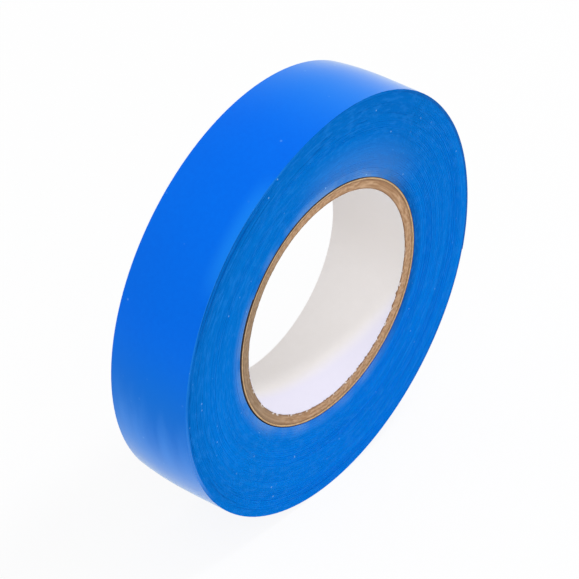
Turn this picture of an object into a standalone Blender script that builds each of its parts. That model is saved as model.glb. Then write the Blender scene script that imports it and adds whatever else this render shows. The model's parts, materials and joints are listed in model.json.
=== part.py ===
"""Roll of PVC electrical tape on a paper core, standing on its rim.

Metres, +Z up. The roll's axis runs along Y, and the origin is on the ground under its middle.
The tape is one strip: its packed turns are a plain solid whose outline is one turn of a spiral,
its last loops wind on from the step in that outline, and its free end hinges at the peel line.
"""
import math

import bmesh
import bpy
import numpy as np
from mathutils import Vector

# The roll as it is sold: a 15 mm strip, about 20 m of it, on a core for a 38 mm spindle
ROLL_DIAMETER = 0.071
TAPE_WIDTH = 0.015
CORE_BORE = 0.0385

# Layers of the paper core, from the bore outwards
LINER_WALL = 0.00025
BOARD_WALL = 0.0010
OUTER_PLY_WALL = 0.00035
PLY_GAP = 0.00025
CORE_FRONT_SETBACK = 0.00065    # the core's front end lies this far behind the rim
CORE_BACK_SETBACK = 0.00035
BOARD_CHAMFER = 0.00015         # the knife crushes the board's edges a little

# The front side face is flat near the rim and dished towards the core
DISH_RADIUS = 0.0285
DISH_DEPTH = 0.00045

# Last loops of the strip, each standing for a few real turns of film
LOOPS = 3
FILM_THICKNESS = 0.00013
STRIP_THICKNESS = 0.0003
LOOP_GAP = 0.00042
SEAT_GAP = 0.0003           # between pieces that touch on the real roll
FOOT_DEPTH = 0.0005         # flat spot that the roll stands on

# Angles in degrees in the XZ plane, from +X towards +Z. The strip winds outwards clockwise.
TIP_ANGLE = -15.0
TAB_ARC = 45.0
CLIMB_ARC = 30.0            # the strip climbs one layer over this arc, just before it passes under its tip
FACET = 3.0
STRAIGHT_DOWN = 270.0
FOOT_REACH = 45.0           # no flat spot reaches further than this from straight down

ROLL_RADIUS = ROLL_DIAMETER / 2
LOOP_PITCH = STRIP_THICKNESS + LOOP_GAP
SEAM_ARC = math.degrees(SEAT_GAP / ROLL_RADIUS)
LOOPS_END = TAB_ARC + 360.0 * LOOPS
CORE_FRONT = -TAPE_WIDTH / 2 + CORE_FRONT_SETBACK
CORE_BACK = TAPE_WIDTH / 2 - CORE_BACK_SETBACK

LINER_INNER = CORE_BORE / 2
LINER_OUTER = LINER_INNER + LINER_WALL
BOARD_INNER = LINER_OUTER + PLY_GAP
BOARD_OUTER = BOARD_INNER + BOARD_WALL
OUTER_PLY_INNER = BOARD_OUTER + PLY_GAP
OUTER_PLY_OUTER = OUTER_PLY_INNER + OUTER_PLY_WALL
PACK_INNER = OUTER_PLY_OUTER + SEAT_GAP

BLUE_FILM = (0.002, 0.156, 0.831)
WHITE_PAPER = (0.791, 0.762, 0.745)
KRAFT_BOARD = (0.552, 0.323, 0.150)
PALE_KRAFT = (0.665, 0.442, 0.238)


def clear_scene():
    for old in list(bpy.data.objects):
        bpy.data.objects.remove(old, do_unlink=True)


def make_material(name, colour, roughness):
    finish = bpy.data.materials.new(name)
    finish.use_nodes = True
    shader = finish.node_tree.nodes["Principled BSDF"]
    shader.inputs["Base Color"].default_value = (*colour, 1.0)
    shader.inputs["Roughness"].default_value = roughness
    shader.inputs["Metallic"].default_value = 0.0
    finish.diffuse_color = (*colour, 1.0)
    return finish


def make_empty(name, location, parent=None):
    empty = bpy.data.objects.new(name, None)
    empty.empty_display_size = TAPE_WIDTH
    empty.parent = parent
    empty.location = location
    bpy.context.collection.objects.link(empty)
    return empty


def make_object(name, bm, parent, finish):
    """Close the bmesh into a smooth-shaded object with crisp edges."""
    bmesh.ops.recalc_face_normals(bm, faces=bm.faces[:])
    mesh = bpy.data.meshes.new(name)
    bm.to_mesh(mesh)
    bm.free()
    mesh.shade_smooth()
    mesh.set_sharp_from_angle(angle=math.radians(30))
    mesh.materials.append(finish)
    piece = bpy.data.objects.new(name, mesh)
    piece.parent = parent
    bpy.context.collection.objects.link(piece)
    return piece


def polar(radius, degrees):
    """Point in the near side plane of the tape, seen from the roll's axis."""
    angle = math.radians(degrees)
    return Vector((radius * math.cos(angle), -TAPE_WIDTH / 2, radius * math.sin(angle)))


def layers_down(unwound):
    """Layers under the outside, at an angle counted back along the strip from its free tip."""
    whole, rest = divmod(unwound, 360.0)
    climb = max(0.0, rest - 360.0 + CLIMB_ARC) / CLIMB_ARC
    return whole + climb * climb * (3.0 - 2.0 * climb)


def spiral_radius(unwound):
    """Outer radius of the strip: round loops, joined by an easy climb from each to the next."""
    return ROLL_RADIUS - LOOP_PITCH * layers_down(unwound)


def nearest_bottom(unwound):
    """Where the strip passes straight under the axis, on the turn nearest to this angle."""
    first = STRAIGHT_DOWN - TIP_ANGLE
    return first + 360.0 * round((unwound - first) / 360.0)


def layer_point(unwound, depth=0.0):
    """Point at a depth under the strip's outer face, on the spiral or on its flat spot."""
    bottom = nearest_bottom(unwound)
    radius = spiral_radius(unwound) - depth
    if abs(unwound - bottom) < FOOT_REACH:
        foot_level = spiral_radius(bottom) - depth - FOOT_DEPTH
        radius = min(radius, foot_level / math.cos(math.radians(unwound - bottom)))
    return polar(radius, TIP_ANGLE + unwound)


def facet_angles(start, end):
    """Both ends, and every facet line between them."""
    first = math.floor(start / FACET) + 1
    last = math.ceil(end / FACET) - 1
    return [start] + [FACET * line for line in range(first, last + 1)] + [end]


def extrude_width(bm, width):
    side = bmesh.ops.extrude_face_region(bm, geom=bm.faces[:])["geom"]
    moved = [item for item in side if isinstance(item, bmesh.types.BMVert)]
    bmesh.ops.translate(bm, verts=moved, vec=(0, width, 0))


def strip_edges(start, end):
    """Outer and inner corner of the strip's near edge at each facet line."""
    return [(layer_point(angle), layer_point(angle, STRIP_THICKNESS)) for angle in facet_angles(start, end)]


def wind_strip(corners):
    """Extrude the strip's thickness along its spiral, then its edge across the tape's width."""
    bm = bmesh.new()
    edge = bm.edges.new([bm.verts.new(corner) for corner in corners[0]])
    for outer, inner in corners[1:]:
        grown = bmesh.ops.extrude_edge_only(bm, edges=[edge])["geom"]
        ends = sorted((item for item in grown if isinstance(item, bmesh.types.BMVert)),
                      key=lambda vert: vert.co.xz.length)
        ends[0].co = inner
        ends[1].co = outer
        edge = next(item for item in grown if isinstance(item, bmesh.types.BMEdge)
                    and set(item.verts) == set(ends))
    extrude_width(bm, TAPE_WIDTH)
    return bm


def least_gap(corners):
    """Smallest distance between points of the strip that lie over half a turn apart."""
    points = np.array([tuple(corner) for pair in corners for corner in pair])
    order = np.arange(len(points))
    half_turn = 360.0 / FACET
    apart = np.abs(order[:, None] - order[None, :]) > half_turn
    distance = np.linalg.norm(points[:, None, :] - points[None, :, :], axis=2)
    return float(distance[apart].min())


def loop_of(bm, points):
    verts = [bm.verts.new(point) for point in points]
    return [bm.edges.new((verts[i - 1], verts[i])) for i in range(len(verts))]


def circle_of(bm, radius):
    return loop_of(bm, [polar(radius, angle) for angle in np.arange(0.0, 360.0, FACET)])


def make_tape_pack(parent, finish):
    """Packed turns: one turn of the spiral outside, the core's seat inside, a shallow dish in front."""
    start = LOOPS_END + SEAM_ARC
    bm = bmesh.new()
    outline = loop_of(bm, [layer_point(angle) for angle in facet_angles(start, start + 360.0)])
    brink = circle_of(bm, DISH_RADIUS)
    seat = circle_of(bm, PACK_INNER)
    seat_verts = list({vert for edge in seat for vert in edge.verts})
    bmesh.ops.triangle_fill(bm, edges=outline + brink, use_beauty=True)
    bmesh.ops.bridge_loops(bm, edges=brink + seat)
    extrude_width(bm, TAPE_WIDTH)
    bmesh.ops.translate(bm, verts=seat_verts, vec=(0, DISH_DEPTH, 0))
    return make_object("tape_pack", bm, parent, finish)


def make_outer_tape_turns(parent, finish):
    corners = strip_edges(TAB_ARC + SEAM_ARC, LOOPS_END)
    print(f"outer_tape_turns: {LOOPS} loops, least gap to itself {1000 * least_gap(corners):.3f} mm")
    return make_object("outer_tape_turns", wind_strip(corners), parent, finish)


def make_free_end_tab(roll_axis, finish):
    """Free end of the strip, hinged on the peel line, at the middle of the outermost film."""
    corners = strip_edges(0.0, TAB_ARC)
    hinge = layer_point(TAB_ARC, FILM_THICKNESS / 2)
    hinge.y = 0.0
    peel_line = make_empty("peel_line", hinge, roll_axis)
    bm = wind_strip(corners)
    bmesh.ops.translate(bm, verts=bm.verts[:], vec=-hinge)
    print("peel line in the world:", [round(value, 6) for value in roll_axis.location + hinge])
    return make_object("free_end_tab", bm, peel_line, finish)


def make_core_tube(name, inner, outer, chamfer, parent, finish):
    """Turn the cut section of one paper layer about the roll's axis."""
    front, back = CORE_FRONT, CORE_BACK
    section = [
        (inner, front + chamfer), (inner + chamfer, front), (outer - chamfer, front), (outer, front + chamfer),
        (outer, back - chamfer), (outer - chamfer, back), (inner + chamfer, back), (inner, back - chamfer),
    ]
    bm = bmesh.new()
    edges = loop_of(bm, [(radius, along, 0.0) for radius, along in section])
    bmesh.ops.spin(bm, geom=bm.verts[:] + edges, cent=(0, 0, 0), axis=(0, 1, 0), dvec=(0, 0, 0),
                   angle=math.tau, steps=round(360.0 / FACET), use_merge=True, use_duplicate=False)
    bmesh.ops.remove_doubles(bm, verts=bm.verts[:], dist=1e-6)
    return make_object(name, bm, parent, finish)


def main():
    clear_scene()
    blue_film = make_material("blue_pvc_film", BLUE_FILM, 0.38)
    white_paper = make_material("white_liner_paper", WHITE_PAPER, 0.75)
    kraft_board = make_material("kraft_board", KRAFT_BOARD, 0.9)
    pale_kraft = make_material("pale_kraft_ply", PALE_KRAFT, 0.85)

    axis_height = spiral_radius(STRAIGHT_DOWN - TIP_ANGLE) - FOOT_DEPTH
    roll_axis = make_empty("roll_axis", Vector((0.0, 0.0, axis_height)))
    print(f"roll axis {1000 * axis_height:.3f} mm above the ground")

    make_core_tube("core_liner", LINER_INNER, LINER_OUTER, 0.0, roll_axis, white_paper)
    make_core_tube("core_board", BOARD_INNER, BOARD_OUTER, BOARD_CHAMFER, roll_axis, kraft_board)
    make_core_tube("core_outer_ply", OUTER_PLY_INNER, OUTER_PLY_OUTER, 0.0, roll_axis, pale_kraft)
    make_tape_pack(roll_axis, blue_film)
    make_outer_tape_turns(roll_axis, blue_film)
    make_free_end_tab(roll_axis, blue_film)


main()
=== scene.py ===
# %% [markdown]
# # A roll of blue electrical tape
#
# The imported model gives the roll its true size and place: a paper core, the wound tape, and a free end
# that hinges at the peel line. This lesson dresses those solids: the strip is wound turn by turn, the
# core gets its cut paper layers, and each surface gets a procedural finish.

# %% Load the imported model
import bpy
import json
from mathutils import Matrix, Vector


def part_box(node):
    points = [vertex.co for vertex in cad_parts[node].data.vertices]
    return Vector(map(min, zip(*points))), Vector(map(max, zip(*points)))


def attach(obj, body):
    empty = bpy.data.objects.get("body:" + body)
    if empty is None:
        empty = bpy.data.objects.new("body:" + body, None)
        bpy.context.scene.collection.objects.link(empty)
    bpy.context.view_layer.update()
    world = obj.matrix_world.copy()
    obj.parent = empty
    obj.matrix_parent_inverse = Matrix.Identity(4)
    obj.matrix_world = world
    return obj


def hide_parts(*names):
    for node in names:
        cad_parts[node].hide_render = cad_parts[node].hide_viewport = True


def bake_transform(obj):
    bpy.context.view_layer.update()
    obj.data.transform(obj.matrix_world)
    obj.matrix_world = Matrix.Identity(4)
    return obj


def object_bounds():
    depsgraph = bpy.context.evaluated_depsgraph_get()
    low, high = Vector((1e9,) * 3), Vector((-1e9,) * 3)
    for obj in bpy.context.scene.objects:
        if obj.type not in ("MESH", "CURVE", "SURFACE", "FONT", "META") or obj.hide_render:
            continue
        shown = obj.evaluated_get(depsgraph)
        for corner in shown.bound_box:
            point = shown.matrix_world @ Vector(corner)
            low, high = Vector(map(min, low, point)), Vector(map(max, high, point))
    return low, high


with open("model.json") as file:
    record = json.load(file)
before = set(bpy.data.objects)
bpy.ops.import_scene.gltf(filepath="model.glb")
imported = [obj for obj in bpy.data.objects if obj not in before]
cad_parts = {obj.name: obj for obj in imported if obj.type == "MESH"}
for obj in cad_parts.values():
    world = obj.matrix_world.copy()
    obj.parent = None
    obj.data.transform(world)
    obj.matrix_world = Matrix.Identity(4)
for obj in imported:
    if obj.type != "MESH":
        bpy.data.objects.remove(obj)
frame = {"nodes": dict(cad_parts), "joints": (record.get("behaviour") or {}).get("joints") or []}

cad_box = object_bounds()

# %% [markdown]
# Everything is measured from the solids instead of typed again. The roll's axis runs along Y, so a
# solid's radii are the distances of its corners from that axis. The solids stand on a small flat spot.
# The real roll is round and touches the table along a line, so its axis is half its height above it.

# %% Measure the solids
import json
import math

import bmesh
import bpy
from mathutils import Vector, noise

MM = 0.001


def middle(node):
    low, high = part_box(node)
    return (low + high) / 2


AXIS = middle("core_liner")
AXIS.y = middle("tape_pack").y


def radii(node):
    """Least and greatest distance of a solid's corners from the roll's axis."""
    spread = [math.hypot(v.co.x - AXIS.x, v.co.z - AXIS.z) for v in frame["nodes"][node].data.vertices]
    return min(spread), max(spread)


BORE_RADIUS = radii("core_liner")[0]
CORE_RADIUS = radii("core_outer_ply")[1]
HALF_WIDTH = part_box("tape_pack")[1].y
HINGE = Vector(frame["joints"][0]["pos_m"])
PEEL_ANGLE = math.atan2(HINGE.z - AXIS.z, HINGE.x - AXIS.x)
ROLL_RADIUS = (cad_box[1][2] - cad_box[0][2]) / 2
AXIS.z = ROLL_RADIUS
diameters = [round(2 * radius / MM, 1) for radius in (BORE_RADIUS, CORE_RADIUS, ROLL_RADIUS)]
print("diameters of bore, core and roll in mm:", diameters)

# %% [markdown]
# ## Camera
#
# A product photo of a small thing is taken from about a metre with a long lens, so near and far rims
# are almost the same size. The roll stands on its rim and is seen from above its left side.

# %% Camera
AZIMUTH = math.radians(-51.66)
ELEVATION = math.radians(37.57)
DISTANCE = 848.6 * MM
AIM = Vector((-0.309, 0.363, 34.977)) * MM
SENSOR_WIDTH = 36.0
FOCAL_LENGTH = 341.97
NEAREST, FURTHEST = 0.05, 20.0

back = Vector((math.sin(AZIMUTH) * math.cos(ELEVATION),
               -math.cos(AZIMUTH) * math.cos(ELEVATION),
               math.sin(ELEVATION)))
lens = bpy.data.cameras.new("camera")
lens.sensor_width = SENSOR_WIDTH
lens.lens = FOCAL_LENGTH
lens.clip_start = NEAREST
lens.clip_end = FURTHEST
camera = bpy.data.objects.new("camera", lens)
camera.rotation_mode = "QUATERNION"
camera.location = AIM + back * DISTANCE
camera.rotation_quaternion = back.to_track_quat("Z", "Y")
bpy.context.scene.collection.objects.link(camera)
bpy.context.scene.camera = camera
print("camera at", [round(value, 3) for value in camera.location])

# %% [markdown]
# ## Node maths
#
# Writing a material as arithmetic is easier to read than a list of links. One class wraps an output
# socket: an expression such as `1 - mask` adds the Math node it needs, and `node` adds any other kind.

# %% A socket that does arithmetic


class Link:
    """An output socket of a node tree."""

    def __init__(self, tree, socket=None):
        self.tree = tree
        self.socket = socket

    def node(self, kind, settings=None, inputs=None, output=0):
        """Add a node: first its settings, then the values or links of its sockets."""
        made = self.tree.nodes.new("ShaderNode" + kind)
        for name, value in (settings or {}).items():
            setattr(made, name, value)
        for name, value in (inputs or {}).items():
            if isinstance(value, Link):
                self.tree.links.new(value.socket, made.inputs[name])
            else:
                made.inputs[name].default_value = value
        return Link(self.tree, made.outputs[output])

    def math(self, operation, left, right=0.0):
        return self.node("Math", {"operation": operation}, {0: left, 1: right})

    def __add__(self, other):
        return self.math("ADD", self, other)

    def __sub__(self, other):
        return self.math("SUBTRACT", self, other)

    def __rsub__(self, other):
        return self.math("SUBTRACT", other, self)

    def __mul__(self, other):
        return self.math("MULTIPLY", self, other)

    def __truediv__(self, other):
        return self.math("DIVIDE", self, other)

    __radd__ = __add__
    __rmul__ = __mul__


# %% [markdown]
# A few shorthands keep the finishes short. `new_finish` starts a material and `feed` fills its sockets.
# `soft_step` is a soft threshold, and it may fall as well as rise. `rgb` takes colours as a picture
# editor shows them, because they are easier to judge that way than as the linear values of a shader.

# %% Shorthands for finishes


def new_finish(name):
    finish = bpy.data.materials.new(name)
    finish.use_nodes = True
    tree = finish.node_tree
    return finish, Link(tree), tree.nodes["Principled BSDF"]


def feed(surface, sockets):
    """Link or set the sockets of a shader."""
    for name, value in sockets.items():
        if isinstance(value, Link):
            value.tree.links.new(value.socket, surface.inputs[name])
        else:
            surface.inputs[name].default_value = value


def soft_step(value, low, high):
    return value.node("MapRange", {"interpolation_type": "SMOOTHSTEP"},
                      {"Value": value, "From Min": low, "From Max": high})


def mix_colour(factor, first, second):
    return factor.node("Mix", {"data_type": "RGBA"}, {0: factor, 6: first, 7: second}, output=2)


def rgb(red, green, blue):
    """A colour as it looks on screen, from 0 to 255, turned into the linear values that shaders use."""
    parts = [value / 255 for value in (red, green, blue)]
    return tuple(p / 12.92 if p <= 0.04045 else ((p + 0.055) / 1.055) ** 2.4 for p in parts) + (1.0,)


# %% [markdown]
# Patterns need a place to live in. `roll_space` gives a surface its place on the roll: across the tape,
# and a direction round the axis that has no seam where an angle would jump. `turn_radius` is stored with
# the mesh: each turn keeps the radius it was wound at, so that rings follow the turns where the roll
# isn't round.

# %% Places and patterns
ROUND_RADIUS = "round_radius"
SOLID_SHARE = 0.4
DUST_PATCHES = 300.0


def object_place(start):
    return start.node("TexCoord", {}, {}, output=3)


def turn_radius(start):
    return start.node("Attribute", {"attribute_name": ROUND_RADIUS}, {}, output="Fac")


def from_middle(start):
    """The three parts of a point's place, seen from the middle of the roll."""
    centred = start.node("Mapping", {}, {"Vector": object_place(start), "Location": tuple(-AXIS)})
    return [start.node("SeparateXYZ", {}, {0: centred}, output=part) for part in range(3)]


def roll_space(start):
    """Place across the tape, and the east and up parts of the direction round the axis."""
    x, across, z = from_middle(start)
    radius = turn_radius(start)
    return across, x / radius, z / radius


def point(x, y, z):
    return x.node("CombineXYZ", {}, {0: x, 1: y, 2: z})


def clouds(place, scale, detail=2.0):
    return place.node("TexNoise", {}, {"Vector": place, "Scale": scale, "Detail": detail})


def specks(place, scale, size):
    """Scattered dots: cells of this scale, each with a dot of this share of its width, a few kept."""
    dots = place.node("TexVoronoi", {}, {"Vector": place, "Scale": scale})
    dusty_places = soft_step(clouds(place, DUST_PATCHES), 0.52, 0.62)
    return soft_step(dots, size, SOLID_SHARE * size) * dusty_places


def ring(radius, at, reach):
    """One on a circle of the side face, fading to zero at this distance from it."""
    return soft_step(radius.math("ABSOLUTE", radius - at), reach, SOLID_SHARE * reach)


def bump(height, distance):
    return height.node("Bump", {}, {"Height": height, "Distance": distance})


# %% [markdown]
# ## Blue film
#
# The outside of the roll is plasticised PVC: a smooth, satin film, pulled tight as it was wound. What
# tells it from paint is a soft gloss with faint lines along the strip, left by the rollers, and a fine
# grain. Light and shade are painted into its blue: a painted sheen on top, painted shade low down, a
# painted reflection in pale bands along the strip low down, and a painted highlight along the front rim
# at the upper left. A sheen veils it where it is seen at a flat angle.

# %% Blue film
film, start, surface = new_finish("blue_film")
place = object_place(start)
across, east, up = roll_space(start)
drift = clouds(place, 55.0)
mottle = clouds(place, 1500.0, 2.0)
tone = mix_colour(0.5 * drift + 0.5 * mottle, rgb(0, 102, 230), rgb(0, 115, 242))
# Painted sheen: the top of the film is painted a paler, greener blue.
painted_top_sheen = soft_step(east, -0.25, 0.4) * soft_step(up, 0.4, 0.85)
with_top_sheen = mix_colour(painted_top_sheen, tone, rgb(16, 131, 240))
# Painted shade: the lower part of the film is painted a darker blue.
with_lower_shade = mix_colour(soft_step(up, 0.4, -0.1), with_top_sheen, rgb(0, 112, 216))
# Painted reflection: pale bands along the strip, low down, stand in for the white floor seen in the film.
sheen_bands = clouds(point(across * 420.0, east * 2.2, up * 2.2), 1.0, 4.0)
painted_low_sheen = soft_step(up - 10.0 * across - 0.45 * (sheen_bands - 0.5), 0.03, -0.4)
with_low_sheen = mix_colour(0.85 * painted_low_sheen, with_lower_shade, rgb(56, 140, 234))
dusty = mix_colour(0.35 * specks(place, 420.0, 0.12), with_low_sheen, rgb(120, 190, 252))
over_rim = soft_step(across, 3.0 * MM - HALF_WIDTH, -HALF_WIDTH)
# Painted highlight: a paler blue along the front rim at the upper left.
painted_rim_highlight = over_rim * soft_step(0.78 * up - 0.63 * east, 0.94, 1.0)
streaks = clouds(point(across * 1400.0, east * 1.5, up * 1.5), 1.0, 3.0)
grain = clouds(place, 5200.0, 1.0)
feed(surface, {
    "Base Color": mix_colour(painted_rim_highlight, dusty, rgb(20, 129, 243)),
    "Roughness": 0.24 + 0.08 * streaks + 0.05 * grain,
    "Specular IOR Level": 0.02,
    "Sheen Weight": 0.85,
    "Sheen Roughness": 0.3,
    "Sheen Tint": (0.92, 1.0, 0.95, 1.0),
    "Normal": bump(0.3 * streaks + 0.35 * grain + drift, 0.006 * MM),
})
print("finish:", film.name)

# %% [markdown]
# ## Slit edges
#
# The flat side of the roll is a hundred film edges, cut by one knife. They look a little darker than the
# film, with rings where the turns sit unevenly. Single dark turns show most near the rim, on the left.

# %% Slit edges: the rings
slit, start, surface = new_finish("slit_edges")
place = object_place(start)
radius = turn_radius(start)
_, east, up = roll_space(start)
turn_lines = clouds(point(radius * 3600.0, east * 2.5, up * 2.5), 1.0, 2.0)
wide_rings = clouds(point(radius * 1300.0, east * 1.6, up * 1.6), 1.0, 2.0)
rings = soft_step(wide_rings, 0.3, 0.7)
upper = mix_colour(rings, rgb(0, 111, 203), rgb(0, 116, 210))
lower = mix_colour(rings, rgb(0, 117, 212), rgb(0, 123, 222))
even = mix_colour(soft_step(up, 0.7, -0.8), upper, lower)
near_rim = soft_step(radius, ROLL_RADIUS - 6.5 * MM, ROLL_RADIUS - 1.0 * MM)
left_side = soft_step(0.68 * up - 0.73 * east, -0.5, 0.6)
base = mix_colour(0.6 * near_rim * left_side, even, rgb(0, 102, 188))
dark_turns = soft_step(turn_lines, 0.56, 0.72) * (0.2 + 0.8 * near_rim) * (0.2 + 0.8 * left_side)
lined = mix_colour(0.8 * dark_turns, base, rgb(0, 76, 158))

# %% [markdown]
# The turns next to the core are mixed with a greyish haze in patches, reaching furthest above the core.
# On the right the same turns are painted darker instead, as painted shade of the dish.

# %% Slit edges: the bloom near the core
patches = clouds(place, 190.0, 4.0)
near_core = soft_step(radius, CORE_RADIUS + 2.4 * MM, CORE_RADIUS)
right_side = soft_step(east, 0.35, 0.9)
# Painted shade: on the right, the turns next to the core are painted darker.
shaded = mix_colour(0.85 * near_core * right_side, lined, rgb(8, 88, 162))
bloom = near_core * soft_step(patches, 0.28, 0.62) * (1 - right_side)
wide_bloom = soft_step(radius, CORE_RADIUS + 8.0 * MM, CORE_RADIUS)
top_bloom = wide_bloom * soft_step(up + 0.4 * east, 0.8, 1.05)
hazy = mix_colour(0.45 * bloom + 0.2 * top_bloom, shaded, rgb(130, 168, 214))
mottle = soft_step(clouds(point(radius * 1800.0, east * 16.0, up * 16.0), 1.0, 3.0), 0.44, 0.7)
mottled = mix_colour(0.4 * mottle, hazy, rgb(34, 131, 223))

# %% [markdown]
# The rim has a thin pale burr on the left. Painted shade draws two dark rings at the upper left, where the
# outermost turns bend away, and greys the edge on the right, as on a rounded edge. Specks of dust stick to
# the adhesive.

# %% Slit edges: the rim
far_left = soft_step(0.26 * up - 0.97 * east, 0.35, 0.8) * soft_step(up, -0.6, -0.38)
burr = soft_step(radius, ROLL_RADIUS - 0.5 * MM, ROLL_RADIUS - 0.32 * MM) * far_left
burr_tone = mix_colour(soft_step(up, 0.1, -0.4), rgb(30, 126, 222), rgb(84, 146, 230))
burred = mix_colour(0.8 * burr, mottled, burr_tone)
upper_left = soft_step(0.64 * up - 0.77 * east, 0.93, 0.99)
# Painted shade: two dark rings at the upper left stand in for the shade where the outermost turns bend
# away.
painted_gap_shade = ring(radius, ROLL_RADIUS - 0.27 * MM, 0.16 * MM)
painted_groove_shade = ring(radius, ROLL_RADIUS - 1.18 * MM, 0.3 * MM)
with_groove_shade = mix_colour(0.75 * upper_left * (painted_gap_shade + painted_groove_shade), burred, rgb(0, 82, 168))
# Painted shade: the rim on the right is painted greyer, as a rounded edge in shade.
painted_edge_shade = soft_step(radius, ROLL_RADIUS - 0.5 * MM, ROLL_RADIUS - 0.1 * MM) * soft_step(east, 0.4, 0.8)
with_painted_shade = mix_colour(0.6 * painted_edge_shade, with_groove_shade, rgb(34, 86, 150))
feed(surface, {
    "Base Color": mix_colour(0.6 * specks(place, 620.0, 0.13), with_painted_shade, rgb(150, 206, 250)),
    "Roughness": 0.46 + 0.2 * patches,
    "Specular IOR Level": 0.006,
    "Normal": bump(0.6 * wide_rings - 0.8 * dark_turns, 0.007 * MM),
})
print("finish:", slit.name)

# %% [markdown]
# ## Adhesive side
#
# The inner face of the film carries a thin coat of rubber adhesive. It shows only when the end is
# lifted: the same blue, a little deeper and wetter, with a fine orange-peel surface.

# %% Adhesive side
adhesive, start, surface = new_finish("adhesive_side")
place = object_place(start)
orange_peel = clouds(place, 1900.0, 2.0)
blotches = clouds(place, 240.0, 3.0)
feed(surface, {
    "Base Color": mix_colour(blotches, rgb(0, 84, 205), rgb(0, 98, 222)),
    "Roughness": 0.22 + 0.18 * blotches,
    "Specular IOR Level": 0.4,
    "Normal": bump(orange_peel, 0.02 * MM),
})
print("finish:", adhesive.name)

# %% [markdown]
# ## Paper
#
# The core is kraft board: brown fibres in every direction, darker where the glue between plies soaked
# in, and painted greyer on the left as painted shade. Long, thin noise makes fibres, and the distance
# from the axis picks the ply. White fibres of the liner cling to the board's inner edge.

# %% Kraft board
FIBRES_OUT, FIBRES_ALONG = 2600.0, 900.0

board, start, surface = new_finish("sawn_kraft")
radius = turn_radius(start)
across, east, up = roll_space(start)
fibres = clouds(point(radius * FIBRES_OUT, across * FIBRES_ALONG, (east + up) * 26.0), 1.0, 4.0)
flecks = clouds(object_place(start), 1500.0, 3.0)
tan = mix_colour(soft_step(fibres, 0.3, 0.7), rgb(160, 122, 88), rgb(198, 162, 128))
glue_line = soft_step(radius, CORE_RADIUS - 0.75 * MM, CORE_RADIUS - 0.45 * MM)
inner_wear = soft_step(radius, BORE_RADIUS + 0.45 * MM, BORE_RADIUS + 0.15 * MM)
dark = 0.6 * glue_line + 0.75 * inner_wear
browned = mix_colour(dark * (0.6 + 0.4 * flecks), tan, rgb(118, 82, 56))
# Painted shade: the left of the core's end is painted greyer.
with_painted_shade = mix_colour(0.5 * soft_step(east, -0.2, -1.0), browned, rgb(118, 109, 93))
inner_edge = soft_step(radius, BORE_RADIUS + 0.5 * MM, BORE_RADIUS + 0.2 * MM)
fuzz = inner_edge * soft_step(flecks, 0.56, 0.64) * soft_step(up, 0.2, -0.4)
feed(surface, {
    "Base Color": mix_colour(0.8 * fuzz, with_painted_shade, rgb(232, 226, 222)),
    "Roughness": 0.9,
    "Specular IOR Level": 0.15,
    "Normal": bump(fibres + 0.5 * flecks, 0.05 * MM),
})
print("finish:", board.name)

# %% [markdown]
# The outermost ply is a paler kraft paper. Its skin is darker at the outer radius, and that draws the
# thin line between core and tape.

# %% Pale outer ply
pale_ply, start, surface = new_finish("pale_kraft")
radius = turn_radius(start)
across, east, up = roll_space(start)
fibres = clouds(point(radius * FIBRES_OUT, across * FIBRES_ALONG, (east + up) * 30.0), 1.0, 4.0)
pale = mix_colour(soft_step(fibres, 0.3, 0.7), rgb(184, 150, 110), rgb(208, 176, 136))
dark_outer_skin = soft_step(radius, CORE_RADIUS - 0.09 * MM, CORE_RADIUS - 0.02 * MM)
feed(surface, {
    "Base Color": mix_colour(0.9 * dark_outer_skin, pale, rgb(62, 56, 58)),
    "Roughness": 0.88,
    "Specular IOR Level": 0.15,
    "Normal": bump(fibres, 0.04 * MM),
})
print("finish:", pale_ply.name)

# %% [markdown]
# The bore is lined with smooth white paper. Painted shade makes it darker and creamier towards the top,
# and a painted pool of violet-white light lies low at the front, where light falls in.

# %% White liner paper
liner_paper, start, surface = new_finish("liner_paper")
place = object_place(start)
across, east, up = roll_space(start)
pulp = clouds(place, 900.0, 4.0)
clouding = clouds(place, 90.0, 2.0)
fresh = mix_colour(0.6 * clouding + 0.4 * pulp, rgb(240, 236, 234), rgb(249, 246, 245))
# Painted shade: the upper part of the bore is painted darker and creamier.
with_upper_shade = mix_colour(soft_step(up, -0.75, 0.1), fresh, rgb(230, 225, 221))
# Painted light: a violet-white pool low at the front of the bore, reaching deeper where light falls in.
painted_light_reach = -HALF_WIDTH - 7.7 * MM * (0.42 * east + 0.91 * up)
painted_light_pool = soft_step(painted_light_reach - across, -2.0 * MM, 1.5 * MM)
feed(surface, {
    "Base Color": mix_colour(0.8 * painted_light_pool, with_upper_shade, rgb(228, 226, 245)),
    "Roughness": 0.7,
    "Specular IOR Level": 0.25,
    "Normal": bump(pulp, 0.02 * MM),
})
print("finish:", liner_paper.name)

# %% [markdown]
# ## Adding a piece to the model
#
# Every piece goes the same way: its normals are made to point outwards, and its mesh is shaded smooth
# with crisp edges.

# %% From bmesh to piece
CREASE = math.radians(35.0)


def make_object(name, bm, finishes):
    mesh = bpy.data.meshes.new(name)
    bmesh.ops.recalc_face_normals(bm, faces=bm.faces[:])
    bm.to_mesh(mesh)
    bm.free()
    mesh.shade_smooth()
    mesh.set_sharp_from_angle(angle=CREASE)
    for finish in finishes:
        mesh.materials.append(finish)
    piece = bpy.data.objects.new(name, mesh)
    bpy.context.scene.collection.objects.link(piece)
    print(f"{name}: {sum(len(face.vertices) - 2 for face in mesh.polygons)} triangles")
    return piece


# %% [markdown]
# ## Winding the strip
#
# The real roll is one strip, so the model is too: a long flat grid, as if the tape were unrolled on a
# bench, that is wound up by moving each of its vertices onto a spiral. Angles count back from the free
# tip, and the spiral is set so that the roll just touches the table.

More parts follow.
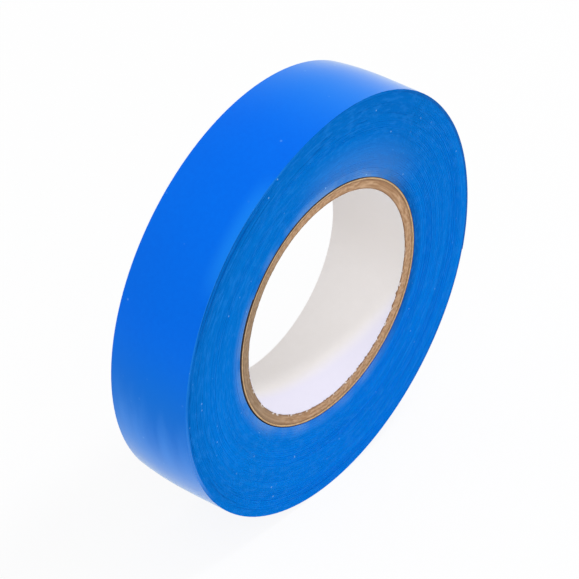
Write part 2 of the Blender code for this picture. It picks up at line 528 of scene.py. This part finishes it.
# %% The spiral
FILM = 0.12 * MM
PITCH = 0.129 * MM
TAB_ARC = math.radians(45.0)
TIP_ANGLE = PEEL_ANGLE - TAB_ARC
STANDS_AT = 1.5 * math.pi - TIP_ANGLE


def film_radius(unwound):
    """Radius of the film's outer face, at an angle counted back from the tip."""
    return ROLL_RADIUS - PITCH * (unwound - STANDS_AT) / math.tau


TAPE_SEAT = CORE_RADIUS + 0.02 * MM
TURNS = (film_radius(TAB_ARC) - FILM - TAPE_SEAT) / PITCH
LENGTH = math.pi * (ROLL_RADIUS ** 2 - TAPE_SEAT ** 2) / PITCH
print(f"{TURNS:.1f} turns, {LENGTH:.1f} m of tape")

# %% [markdown]
# A wound roll is soft, so it is never a true cylinder. The film is thinner towards its edges, and the
# pile of turns is lower there, most of all at the back. Handling has left the front rim a little out of
# round: each dent is a direction, a reach and a height. The tip has begun to curl up at its back corner.

# %% Out of round
FRONT_DROP = 0.03 * MM
BACK_DROP = 0.53 * MM
DENTS = (
    (math.radians(62.0), math.radians(17.0), 0.45 * MM),
    (math.radians(4.0), math.radians(14.0), -0.3 * MM),
    (math.radians(107.0), math.radians(12.5), -0.36 * MM),
)
TIP_LIFT = 0.45 * MM
TIP_ARC = math.radians(7.0)


def out_of_round(angle):
    """How far the front rim bulges or is dented at a direction round the axis."""
    height = 0.0
    for middle_angle, reach, bulge in DENTS:
        off = math.remainder(angle - middle_angle, math.tau) / reach
        height += bulge * math.exp(-0.5 * off * off)
    return height


def crowned(radius, angle, side):
    """The radius at a place across the tape, from -1 at its front edge to 1 at its back edge."""
    share = (radius - CORE_RADIUS) / (ROLL_RADIUS - CORE_RADIUS)
    drop = (FRONT_DROP if side < 0 else BACK_DROP) * side * side
    return radius - share * drop + share * share * out_of_round(angle) * (1.0 - side) / 2


def tip_lift(unwound, side):
    """How far the free tip has curled up, most at its back corner."""
    return TIP_LIFT * max(0.0, 1.0 - unwound / TIP_ARC) ** 2 * ((1.0 + side) / 2) ** 2


# %% [markdown]
# The knife leaves the side faces slightly dished, and no two turns end at quite the same place. A smooth
# wave over radius and direction tilts whole groups of edges, a small wander along the strip sets each
# turn off from the next, and one turn near the rim has sprung back on the left.

# %% The cut sides
DISH_FRONT = 0.58 * MM
DISH_BACK = 0.15 * MM
DISH_CURVE = 1.4
WAVE = 0.03 * MM
WAVE_LENGTH = 1.1 * MM
WAVES_ROUND = 1.3
BACK_OFFSET = 9.0
WANDER = 0.008 * MM
WANDER_WAVES = ((0.37, 0.0), (0.61, 1.3), (1.27, 2.1), (2.41, 0.4))
SPRUNG_TURN = 3.29
SPRUNG_REACH = 0.07
SPRUNG_DEPTH = 0.22 * MM


def wander(turn):
    """Sideways shift of the film, from waves that don't repeat from turn to turn."""
    return WANDER * sum(math.sin(math.tau * rate * turn + phase) for rate, phase in WANDER_WAVES)


def cut_depth(radius, angle, side):
    """How far the knife's cut lies inside the tape's full width."""
    share = max(0.0, (ROLL_RADIUS - radius) / (ROLL_RADIUS - CORE_RADIUS))
    dish = DISH_FRONT if side < 0 else DISH_BACK
    spot = Vector((radius / WAVE_LENGTH,
                   WAVES_ROUND * math.cos(angle),
                   WAVES_ROUND * math.sin(angle) + BACK_OFFSET * side))
    return dish * share ** DISH_CURVE + WAVE * (1.0 + noise.noise(spot))


def sprung(turn):
    """Depth of the one turn that has slipped back from the front face."""
    off = abs(turn - SPRUNG_TURN) / SPRUNG_REACH
    return SPRUNG_DEPTH * math.cos(off * math.pi / 2) ** 2 if off < 1.0 else 0.0


def strip_edges(unwound, radius, angle):
    """Where the film's front and back edges lie along the axis."""
    turn = (unwound - TAB_ARC) / math.tau
    shift = wander(turn)
    front = -HALF_WIDTH + cut_depth(radius, angle, -1) + sprung(turn)
    back = HALF_WIDTH - cut_depth(radius, angle, 1)
    return front + shift, back + shift


# %% [markdown]
# A paper core doesn't stay round. This one is a little oval and sits a little off the middle, and the
# turns next to it follow, less and less towards the rim.

# %% The oval core
OVAL = 0.0276
OVAL_ANGLE = math.radians(-29.3)
CORE_LEAN = Vector((0.247, 0.0, 0.327)) * MM


def press_oval(bm):
    """Press the middle of the roll oval and move it off the middle."""
    for vert in bm.verts:
        outward = vert.co - AXIS
        outward.y = 0.0
        share = min(1.0, (ROLL_RADIUS - outward.length) / (ROLL_RADIUS - CORE_RADIUS))
        turned = math.atan2(outward.z, outward.x) - OVAL_ANGLE
        vert.co += share * (OVAL * math.cos(2.0 * turned) * outward + CORE_LEAN)


# %% [markdown]
# `wind` makes the grid, rolls it up and gives it its thickness. Faces that look along the axis are slit
# edges, faces that look at the axis carry the adhesive, and the rest are film. The outside of the turns
# under the last one shows only at its very edge, so it counts as slit edge too.

# %% Wind the strip
FILM_FACE, SLIT_FACE, ADHESIVE_FACE = range(3)
SIDEWAYS = 0.5


def wind(start_angle, end_angle, per_turn, across):
    arc = end_angle - start_angle
    bm = bmesh.new()
    bmesh.ops.create_grid(bm, x_segments=round(arc / math.tau * per_turn), y_segments=across, size=1.0)
    for face in bm.faces:
        unwound = start_angle + (face.calc_center_median().x + 1.0) / 2 * arc
        face.material_index = FILM_FACE if unwound < TAB_ARC + math.tau else SLIT_FACE
    round_radius = bm.verts.layers.float.new(ROUND_RADIUS)
    for vert in bm.verts:
        unwound = start_angle + (vert.co.x + 1.0) / 2 * arc
        vert[round_radius] = film_radius(unwound)
        angle = TIP_ANGLE + unwound
        side = vert.co.y
        radius = crowned(film_radius(unwound), angle, side) + tip_lift(unwound, side)
        front, back = strip_edges(unwound, radius, angle)
        along = front + (side + 1.0) / 2 * (back - front)
        vert.co = (AXIS.x + radius * math.cos(angle), AXIS.y + along, AXIS.z + radius * math.sin(angle))
    bm.normal_update()
    bmesh.ops.solidify(bm, geom=bm.faces[:], thickness=-FILM)
    bmesh.ops.recalc_face_normals(bm, faces=bm.faces[:])
    for face in bm.faces:
        outward = face.calc_center_median() - AXIS
        if abs(face.normal.y) > SIDEWAYS:
            face.material_index = SLIT_FACE
        elif face.normal.x * outward.x + face.normal.z * outward.z < 0:
            face.material_index = ADHESIVE_FACE
    press_oval(bm)
    return bm


# %% [markdown]
# The strip is wound as three pieces, as the solids are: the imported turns, the last turns over them, and
# the free end. They meet edge to edge, so the roll looks like one strip. The last turns are divided
# finely across, because the crown of the outside shows.

# %% Packed turns and last turns
LAST_TURNS = 16.75
PER_TURN = 144
LAST_ACROSS = 12
PACK_ACROSS = 2
tape_finishes = (film, slit, adhesive)

last_end = TAB_ARC + LAST_TURNS * math.tau
pack_end = TAB_ARC + math.floor(TURNS * PER_TURN) / PER_TURN * math.tau
last_turns = make_object("last_turns", wind(TAB_ARC, last_end, PER_TURN, LAST_ACROSS), tape_finishes)
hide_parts("outer_tape_turns")
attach(last_turns, "roll")

packed_turns = make_object("packed_turns", wind(last_end, pack_end, PER_TURN, PACK_ACROSS), tape_finishes)
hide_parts("tape_pack")
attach(packed_turns, "roll")

# %% [markdown]
# The free end runs from the tip to the peel line, and it is wound in many short segments.

# %% Free end
FINE_TURN = 1440
FREE_ACROSS = 10

free_film = make_object("free_film", wind(0.0, TAB_ARC, FINE_TURN, FREE_ACROSS), tape_finishes)
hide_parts("free_end_tab")
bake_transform(free_film)

# %% [markdown]
# ## Paper core
#
# The core is a spiral paper tube, sawn to length. Each layer is a short section, spun about the axis.
# Its cut ends are divided finely, so that noise can make them as uneven as torn fibres. The tube has
# come loose from the tape on its upper left: it lies a little further in there, its wall is thinner,
# and its cut is slightly skew.

# %% Spin a layer of paper
CORE_STEPS = 640
CORE_FRONT = -6.85 * MM
CORE_BACK = 7.3 * MM
CORE_PLAY = 0.25 * MM
CORE_SKEW = -0.07 * MM
BORE_SHIFT = 0.32 * MM
LOOSE_SIDE = math.radians(140.0)
WELD = 1e-7


def outward_from_axis(vert):
    outward = vert.co - AXIS
    outward.y = 0.0
    return outward.normalized()


def spin_layer(inner, outer, front, back, cuts, loops=0):
    """A tube between two radii, with its ends divided across the wall, and its walls along the axis."""
    bm = bmesh.new()
    corners = [(inner, front), (outer, front), (outer, back), (inner, back)]
    verts = [bm.verts.new((AXIS.x + radius, along, AXIS.z)) for radius, along in corners]
    sides = [bm.edges.new((verts[i], verts[(i + 1) % 4])) for i in range(4)]
    bmesh.ops.subdivide_edges(bm, edges=[sides[0], sides[2]], cuts=cuts)
    if loops:
        bmesh.ops.subdivide_edges(bm, edges=[sides[1], sides[3]], cuts=loops)
    bmesh.ops.spin(bm, geom=bm.verts[:] + bm.edges[:], cent=AXIS, axis=(0, 1, 0), dvec=(0, 0, 0),
                   angle=math.tau, steps=CORE_STEPS, use_merge=True, use_duplicate=False)
    bmesh.ops.remove_doubles(bm, verts=bm.verts[:], dist=WELD)
    bmesh.ops.recalc_face_normals(bm, faces=bm.faces[:])
    round_radius = bm.verts.layers.float.new(ROUND_RADIUS)
    for vert in bm.verts:
        vert[round_radius] = math.hypot(vert.co.x - AXIS.x, vert.co.z - AXIS.z)
    press_oval(bm)
    for vert in bm.verts:
        outward = outward_from_axis(vert)
        loose = math.cos(LOOSE_SIDE) * outward.x + math.sin(LOOSE_SIDE) * outward.z
        depth = (CORE_RADIUS - vert[round_radius]) / (CORE_RADIUS - BORE_RADIUS)
        vert.co += outward * (BORE_SHIFT * depth * loose - CORE_PLAY * max(0.0, loose))
        vert.co.y += CORE_SKEW * loose
    return bm


# %% [markdown]
# A blunt saw pulls the fibres of the cut ends in and out. Two sizes of noise move them: clumps of fibres,
# and single ends between them.

# %% Board and outer ply
CLUMP = 1.1 * MM
FIBRE_END = 0.28 * MM
PLY_WALL = 0.31 * MM
PLY_PROUD = 0.05 * MM
PLY_CUTS, PLY_FRAY = 2, 0.03 * MM
BOARD_INNER = BORE_RADIUS + 0.12 * MM
BOARD_OUTER = CORE_RADIUS - PLY_WALL - 0.04 * MM
BOARD_CUTS, BOARD_FRAY = 9, 0.06 * MM


def rough(spot, size):
    """Noise from -1 to 1 with features of about this size."""
    return noise.noise(Vector(spot) / size)


def roughen_ends(bm, depth):
    for vert in bm.verts:
        coarse = rough(vert.co, CLUMP)
        fine = rough(vert.co, FIBRE_END)
        vert.co.y += depth * (0.6 * coarse + 0.7 * fine)


bm = spin_layer(BOARD_INNER, BOARD_OUTER, CORE_FRONT, CORE_BACK, BOARD_CUTS)
roughen_ends(bm, BOARD_FRAY)
core_board = make_object("sawn_board", bm, (board,))
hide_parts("core_board")
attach(core_board, "roll")

bm = spin_layer(CORE_RADIUS - PLY_WALL, CORE_RADIUS, CORE_FRONT - PLY_PROUD, CORE_BACK, PLY_CUTS)
roughen_ends(bm, PLY_FRAY)
core_ply = make_object("sawn_outer_ply", bm, (pale_ply,))
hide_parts("core_outer_ply")
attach(core_ply, "roll")

# %% [markdown]
# The white liner tears where the saw leaves it, most of all low down. Its front edge is pulled back
# unevenly, so brown board shows behind the torn places, and loose bits lift off the wall into the bore.
# Loops along the wall keep the torn edge from stretching over the whole liner.

# %% Torn liner
LINER_WALL = 0.10 * MM
LINER_CUTS, LINER_LOOPS = 1, 24
LINER_SETBACK = 0.05 * MM
TEAR = 0.22 * MM
LIFT = 0.12 * MM
TEAR_SIZE, NICK_SIZE, LIFT_SIZE = 0.55 * MM, 0.2 * MM, 0.4 * MM

bm = spin_layer(BORE_RADIUS, BORE_RADIUS + LINER_WALL, CORE_FRONT, CORE_BACK, LINER_CUTS, LINER_LOOPS)
for vert in bm.verts:
    if vert.co.y < CORE_FRONT + TEAR:
        outward = outward_from_axis(vert)
        low_side = min(1.0, max(0.1, 0.35 - outward.z))
        torn = max(0.0, rough(vert.co, TEAR_SIZE) + 0.6 * rough(vert.co, NICK_SIZE))
        lifted = max(0.0, rough(vert.co, LIFT_SIZE))
        vert.co.y += LINER_SETBACK + low_side * TEAR * torn
        vert.co -= outward * low_side * LIFT * lifted
core_liner = make_object("torn_liner", bm, (liner_paper,))
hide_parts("core_liner")
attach(core_liner, "roll")

# %% [markdown]
# ## Studio
#
# The photo is a product on white. The floor looks white to the camera and in reflections, but a share of
# it is plain paper, which keeps a soft shadow and sends back no more light than paper does.

# %% Floor
FLOOR_SIZE = 3.0
FLOOR_DROP = 0.02 * MM
FLOOR_WHITE = 0.9
SHADOW_GREY = (0.93, 0.93, 0.93, 1.0)
PURE_WHITE = (1.0, 1.0, 1.0, 1.0)
SEEING_RAYS = ("Is Camera Ray", "Is Glossy Ray", "Is Transmission Ray")


def seen_directly(start):
    """One for rays that see, also in gloss and through glass, and zero for rays that only gather light."""
    straight, mirrored, through = (start.node("LightPath", {}, {}, output=kind) for kind in SEEING_RAYS)
    return start.math("MINIMUM", straight + mirrored + through, 1.0)


paper_floor, start, surface = new_finish("paper_floor")
paper_floor.node_tree.nodes.remove(surface)
lit = start.node("BsdfDiffuse", {}, {"Color": SHADOW_GREY})
glow = start.node("Emission", {}, {"Color": PURE_WHITE})
mixed = start.node("MixShader", {}, {0: FLOOR_WHITE * seen_directly(start), 1: lit, 2: glow})
feed(paper_floor.node_tree.nodes["Material Output"], {"Surface": mixed})

bm = bmesh.new()
bmesh.ops.create_grid(bm, x_segments=1, y_segments=1, size=FLOOR_SIZE)
bmesh.ops.translate(bm, verts=bm.verts[:], vec=(0, 0, -FLOOR_DROP))
floor = make_object("floor", bm, (paper_floor,))

# %% [markdown]
# The world is white as well, a little warm, and does most of the lighting. It lights the roll less than
# it shows, so that the lamps still count.

# %% World
WORLD_LIGHT = 0.7
WORLD_TINT = (1.0, 0.99, 0.975, 1.0)

world = bpy.data.worlds.new("white_studio")
world.use_nodes = True
bpy.context.scene.world = world
start = Link(world.node_tree)
strength = WORLD_LIGHT + (1.0 - WORLD_LIGHT) * seen_directly(start)
feed(world.node_tree.nodes["Background"], {"Color": WORLD_TINT, "Strength": strength})

# %% [markdown]
# Three lamps add what a white room lacks. The key is small and cool, high in front on the right, and
# gives the film its soft gloss. A large one on the left brightens the film, and a weak large one in front
# on the right keeps the side face and the bore from going dull.

# %% Lamps
LAMP_DISTANCE = 0.9
SMALL_LAMP, LARGE_LAMP = 0.14, 0.8
COOL_WHITE = (0.90, 0.92, 1.0)
NEUTRAL_WHITE = (1.0, 1.0, 1.0)


def soft_lamp(name, direction, size, power, colour):
    lamp = bpy.data.lights.new(name, "AREA")
    lamp.color = colour
    lamp.shape = "DISK"
    lamp.size = size
    lamp.energy = power
    holder = bpy.data.objects.new(name, lamp)
    towards = Vector(direction).normalized()
    holder.location = AIM + towards * LAMP_DISTANCE
    holder.rotation_mode = "QUATERNION"
    holder.rotation_quaternion = towards.to_track_quat("Z", "Y")
    bpy.context.scene.collection.objects.link(holder)
    print(f"lamp {name}: {power} W, {1000 * size:.0f} mm across")


soft_lamp("key", direction=(0.40, -0.22, 0.90), size=SMALL_LAMP, power=2.4, colour=COOL_WHITE)
soft_lamp("left", direction=(-0.70, -0.50, 0.50), size=LARGE_LAMP, power=1.7, colour=NEUTRAL_WHITE)
soft_lamp("fill", direction=(0.45, -0.85, 0.35), size=LARGE_LAMP, power=0.8, colour=NEUTRAL_WHITE)

bpy.context.scene.view_settings.view_transform = "Standard"
